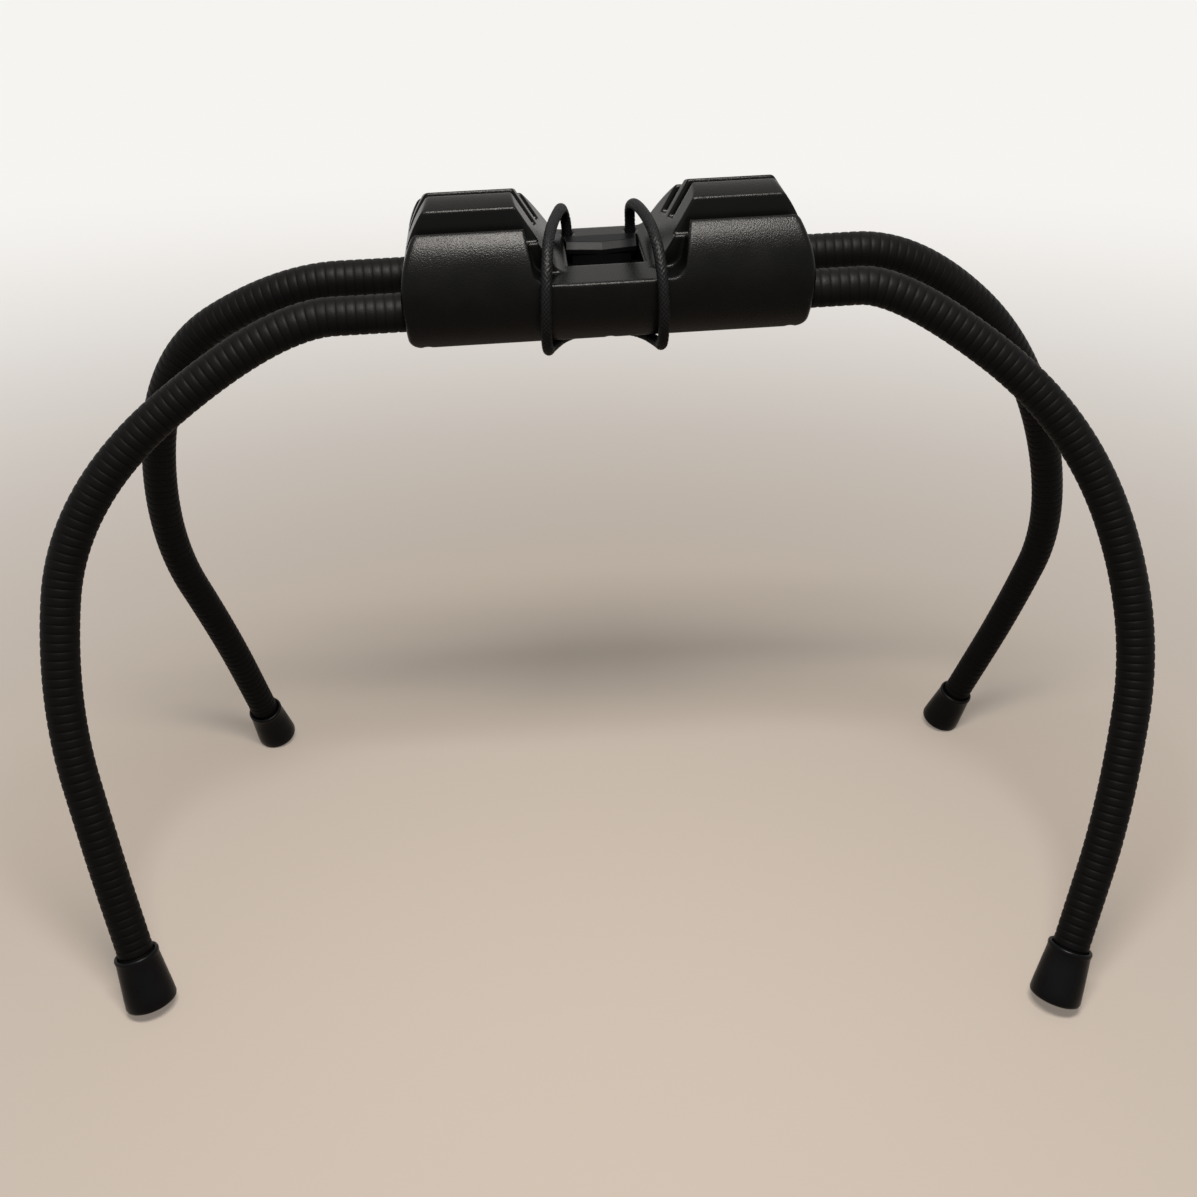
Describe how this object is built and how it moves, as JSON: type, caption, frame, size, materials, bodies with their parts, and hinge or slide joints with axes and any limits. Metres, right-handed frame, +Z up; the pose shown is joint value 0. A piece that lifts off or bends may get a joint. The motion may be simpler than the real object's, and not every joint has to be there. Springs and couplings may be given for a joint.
{
  "type": "flexible leg tablet stand",
  "caption": "Tablet stand with a slotted clamp body, an elastic retaining cord and bendable gooseneck legs on rubber feet.",
  "frame": {"origin": "on the floor under the middle of the stand's outline", "axes": "+X along the body to the user's right, +Y away from the user, +Z up"},
  "size_m": [0.5076, 0.2586, 0.3562],
  "materials": {
    "housing": "black ABS with a fine moulded grain",
    "hook": "smooth black moulded plastic",
    "sleeve": "ribbed matte black sleeve",
    "core": "coiled steel gooseneck",
    "collar": "turned and crimped steel",
    "foot": "smooth black rubber",
    "cord": "black braided elastic",
    "crimp": "pressed",
    "screw": "black zinc"
  },
  "bodies": {
    "hub": {"upper_housing": "housing", "lower_housing": "housing", "hook_bar": "hook", "elastic_cord": "cord", "cord_crimps": "crimp", "housing_screws": "screw", "front_left_collar": "collar", "front_left_sleeve_root": "sleeve", "front_left_core_root": "core", "front_right_collar": "collar", "front_right_sleeve_root": "sleeve", "front_right_core_root": "core", "rear_left_collar": "collar", "rear_left_sleeve_root": "sleeve", "rear_left_core_root": "core", "rear_right_collar": "collar", "rear_right_sleeve_root": "sleeve", "rear_right_core_root": "core"},
    "front_left_middle": {"front_left_sleeve_middle": "sleeve", "front_left_core_middle": "core"},
    "front_left_lower": {"front_left_sleeve_lower": "sleeve", "front_left_core_lower": "core", "front_left_foot": "foot"},
    "front_right_middle": {"front_right_sleeve_middle": "sleeve", "front_right_core_middle": "core"},
    "front_right_lower": {"front_right_sleeve_lower": "sleeve", "front_right_core_lower": "core", "front_right_foot": "foot"},
    "rear_left_middle": {"rear_left_sleeve_middle": "sleeve", "rear_left_core_middle": "core"},
    "rear_left_lower": {"rear_left_sleeve_lower": "sleeve", "rear_left_core_lower": "core", "rear_left_foot": "foot"},
    "rear_right_middle": {"rear_right_sleeve_middle": "sleeve", "rear_right_core_middle": "core"},
    "rear_right_lower": {"rear_right_sleeve_lower": "sleeve", "rear_right_core_lower": "core", "rear_right_foot": "foot"}
  },
  "joints": [
    {"name": "front_left_upper_bend", "type": "hinge", "parent": "hub", "child": "front_left_middle", "pos_m": [-0.18846, -0.04609, 0.27032], "axis": [0.0657, -0.9651, 0.2535], "range_deg": [-28, 28]},
    {"name": "front_left_lower_bend", "type": "hinge", "parent": "front_left_middle", "child": "front_left_lower", "pos_m": [-0.24046, -0.09147, 0.11103], "axis": [0.0657, -0.9651, 0.2535], "range_deg": [-28, 28]},
    {"name": "front_right_upper_bend", "type": "hinge", "parent": "hub", "child": "front_right_middle", "pos_m": [0.16147, -0.02046, 0.28709], "axis": [-0.0608, 0.9418, -0.3307], "range_deg": [-28, 28]},
    {"name": "front_right_lower_bend", "type": "hinge", "parent": "front_right_middle", "child": "front_right_lower", "pos_m": [0.23427, -0.06967, 0.13355], "axis": [-0.0608, 0.9418, -0.3307], "range_deg": [-28, 28]},
    {"name": "rear_left_upper_bend", "type": "hinge", "parent": "hub", "child": "rear_left_middle", "pos_m": [-0.18034, 0.0081, 0.29308], "axis": [0.087, -0.9459, -0.3124], "range_deg": [-28, 28]},
    {"name": "rear_left_lower_bend", "type": "hinge", "parent": "rear_left_middle", "child": "rear_left_lower", "pos_m": [-0.23315, 0.0557, 0.13426], "axis": [0.087, -0.9459, -0.3124], "range_deg": [-28, 28]},
    {"name": "rear_right_upper_bend", "type": "hinge", "parent": "hub", "child": "rear_right_middle", "pos_m": [0.16911, 0.03751, 0.29547], "axis": [-0.086, 0.9638, 0.2525], "range_deg": [-28, 28]},
    {"name": "rear_right_lower_bend", "type": "hinge", "parent": "rear_right_middle", "child": "rear_right_lower", "pos_m": [0.24282, 0.08665, 0.133], "axis": [-0.086, 0.9638, 0.2525], "range_deg": [-28, 28]}
  ]
}
